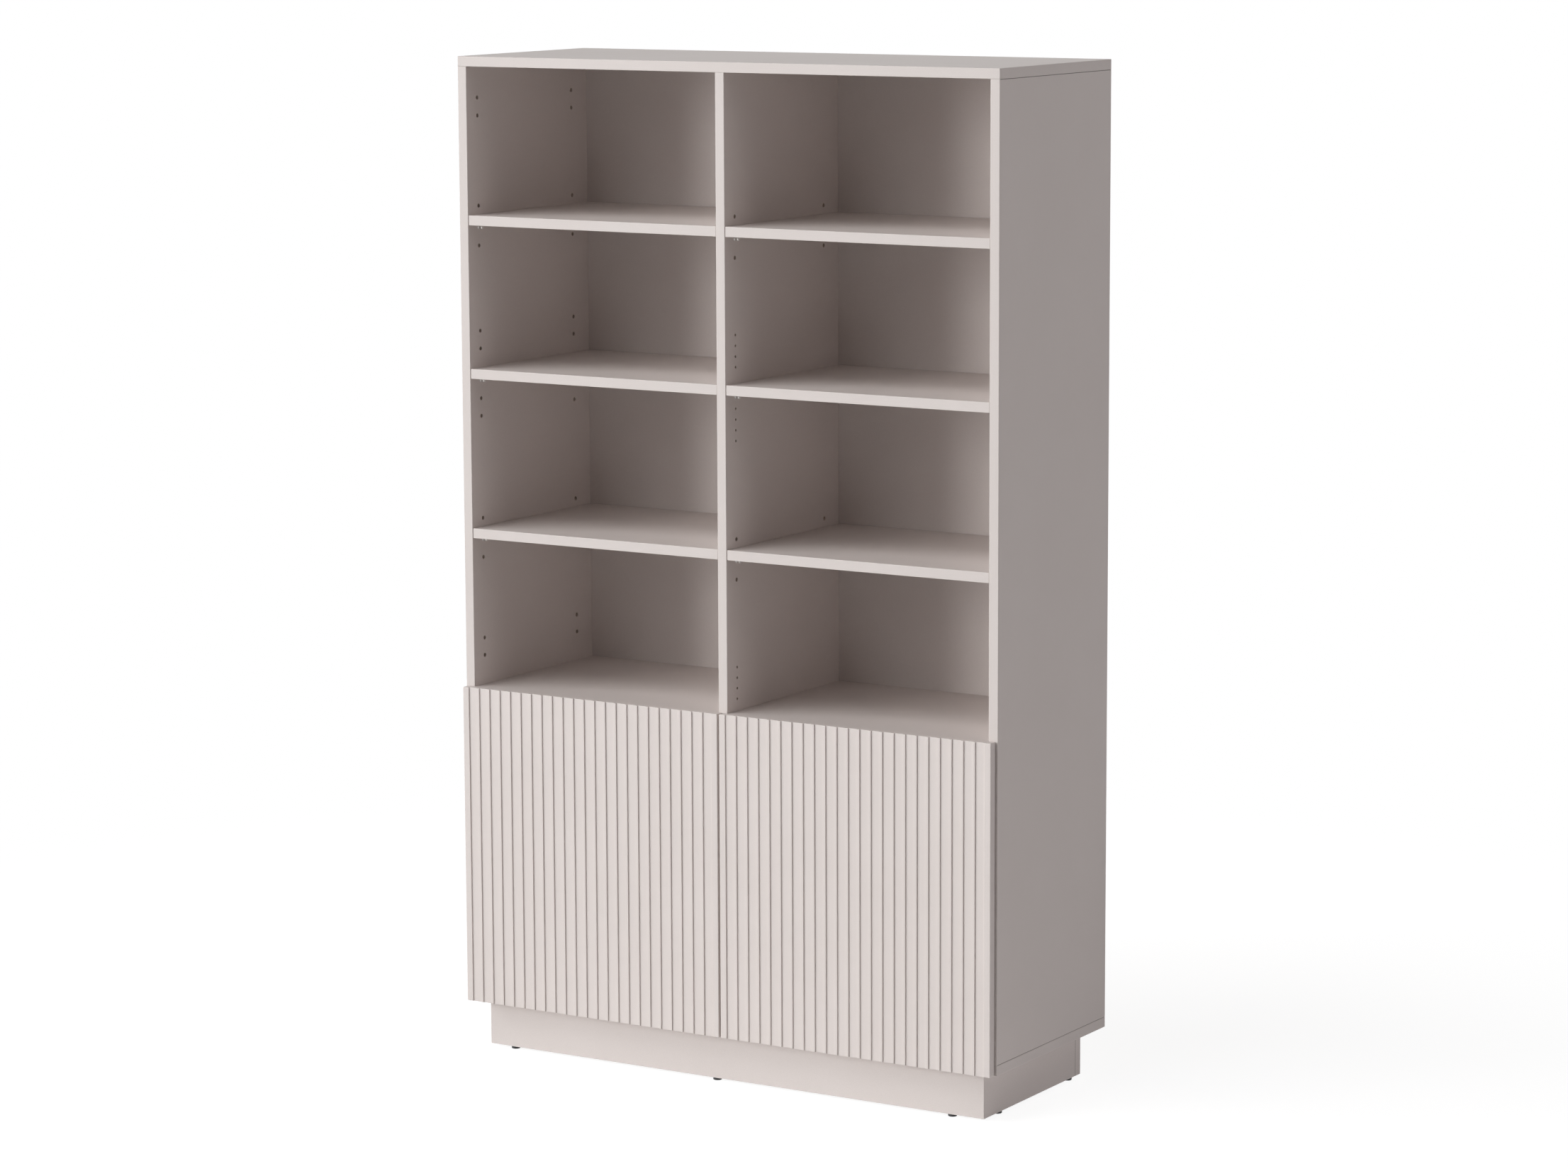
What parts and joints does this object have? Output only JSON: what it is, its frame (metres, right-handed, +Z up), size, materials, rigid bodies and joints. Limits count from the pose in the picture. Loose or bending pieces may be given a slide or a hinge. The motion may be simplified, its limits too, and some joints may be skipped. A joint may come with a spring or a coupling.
{
  "type": "bookcase with cabinet doors",
  "caption": "Tall two-column bookcase on a recessed plinth, with open bays over a cupboard with grooved push-to-open doors.",
  "frame": {"origin": "on the floor, under the middle of the box that encloses the closed bookcase", "axes": "+Z up, front with the doors towards -Y, +X to the right seen from the front"},
  "size_m": [1.1, 0.4174, 1.808],
  "materials": {
    "cashmere_board": "matt cashmere melamine on particle board, with matching edging",
    "cashmere_door": "matt cashmere foil on milled fibreboard",
    "back_board": "matt cashmere lacquer on thin fibreboard",
    "softwood": "planed softwood",
    "beech": "turned beech",
    "black_plastic": "moulded black plastic",
    "nickel": "satin nickel plate",
    "steel": "zinc-plated steel",
    "grey_plastic": "moulded grey plastic"
  },
  "bodies": {
    "carcass": {"top_panel": "cashmere_board", "bottom_panel": "cashmere_board", "left_side_panel": "cashmere_board", "right_side_panel": "cashmere_board", "centre_divider": "cashmere_board", "left_fixed_shelf": "cashmere_board", "right_fixed_shelf": "cashmere_board", "left_cupboard_shelf": "cashmere_board", "right_cupboard_shelf": "cashmere_board", "plinth_front_board": "cashmere_board", "plinth_right_board": "cashmere_board", "plinth_rear_board": "cashmere_board", "plinth_left_board": "cashmere_board", "plinth_middle_board": "cashmere_board", "left_back_panel": "back_board", "right_back_panel": "back_board", "plinth_corner_blocks": "softwood", "carcass_dowels": "beech", "glide_feet": "black_plastic", "shelf_pins": "nickel", "left_lower_hinge_arm": "nickel", "left_upper_hinge_arm": "nickel", "right_lower_hinge_arm": "nickel", "right_upper_hinge_arm": "nickel", "left_lower_hinge_plate": "nickel", "left_upper_hinge_plate": "nickel", "right_lower_hinge_plate": "nickel", "right_upper_hinge_plate": "nickel", "hinge_arm_pins": "steel", "hinge_plate_screws": "steel", "hinge_arm_screws": "steel", "latch_screws": "steel", "plinth_screws": "steel", "left_latch_housing": "grey_plastic", "right_latch_housing": "grey_plastic"},
    "left_links": {"left_hinge_links": "nickel"},
    "left_door_leaf": {"left_door": "cashmere_door", "left_lower_hinge_cup": "nickel", "left_upper_hinge_cup": "nickel", "left_cup_pins": "steel", "left_cup_screws": "steel", "left_strike_plate": "nickel"},
    "left_plunger": {"left_latch_plunger": "grey_plastic"},
    "right_links": {"right_hinge_links": "nickel"},
    "right_door_leaf": {"right_door": "cashmere_door", "right_lower_hinge_cup": "nickel", "right_upper_hinge_cup": "nickel", "right_cup_pins": "steel", "right_cup_screws": "steel", "right_strike_plate": "nickel"},
    "right_plunger": {"right_latch_plunger": "grey_plastic"},
    "left_shelf_upper_body": {"left_shelf_upper": "cashmere_board"},
    "left_shelf_middle_body": {"left_shelf_middle": "cashmere_board"},
    "left_shelf_lower_body": {"left_shelf_lower": "cashmere_board"},
    "right_shelf_upper_body": {"right_shelf_upper": "cashmere_board"},
    "right_shelf_middle_body": {"right_shelf_middle": "cashmere_board"},
    "right_shelf_lower_body": {"right_shelf_lower": "cashmere_board"}
  },
  "joints": [
    {"name": "left_link_swing", "type": "hinge", "parent": "carcass", "child": "left_links", "pos_m": [-0.518, -0.18975, 0.38035], "axis": [0, 0, 1], "range_deg": [0, 30.01]},
    {"name": "left_door_swing", "type": "hinge", "parent": "left_links", "child": "left_door_leaf", "pos_m": [-0.5385, -0.19525, 0.38035], "axis": [0, 0, 1], "range_deg": [-135, 0]},
    {"name": "left_plunger_push", "type": "slide", "parent": "carcass", "child": "left_plunger", "axis": [0, -1, 0], "range_m": [0, 0.0201]},
    {"name": "right_link_swing", "type": "hinge", "parent": "carcass", "child": "right_links", "pos_m": [0.518, -0.18975, 0.38035], "axis": [0, 0, 1], "range_deg": [-30.01, 0]},
    {"name": "right_door_swing", "type": "hinge", "parent": "right_links", "child": "right_door_leaf", "pos_m": [0.5385, -0.19525, 0.38035], "axis": [0, 0, 1], "range_deg": [0, 135]},
    {"name": "right_plunger_push", "type": "slide", "parent": "carcass", "child": "right_plunger", "axis": [0, -1, 0], "range_m": [0, 0.0201]},
    {"name": "left_shelf_upper_slide", "type": "slide", "parent": "carcass", "child": "left_shelf_upper_body", "axis": [0, -1, 0], "range_m": [0, 0.045]},
    {"name": "left_shelf_middle_slide", "type": "slide", "parent": "carcass", "child": "left_shelf_middle_body", "axis": [0, -1, 0], "range_m": [0, 0.045]},
    {"name": "left_shelf_lower_slide", "type": "slide", "parent": "carcass", "child": "left_shelf_lower_body", "axis": [0, -1, 0], "range_m": [0, 0.045]},
    {"name": "right_shelf_upper_slide", "type": "slide", "parent": "carcass", "child": "right_shelf_upper_body", "axis": [0, -1, 0], "range_m": [0, 0.045]},
    {"name": "right_shelf_middle_slide", "type": "slide", "parent": "carcass", "child": "right_shelf_middle_body", "axis": [0, -1, 0], "range_m": [0, 0.045]},
    {"name": "right_shelf_lower_slide", "type": "slide", "parent": "carcass", "child": "right_shelf_lower_body", "axis": [0, -1, 0], "range_m": [0, 0.045]}
  ],
  "couplings": [
    {"joint": "left_link_swing", "follows": "left_door_swing", "ratio": -0.22222},
    {"joint": "left_plunger_push", "follows": "left_door_swing", "m_per_rad": -0.0084883},
    {"joint": "right_link_swing", "follows": "right_door_swing", "ratio": -0.22222},
    {"joint": "right_plunger_push", "follows": "right_door_swing", "m_per_rad": 0.0084883}
  ]
}
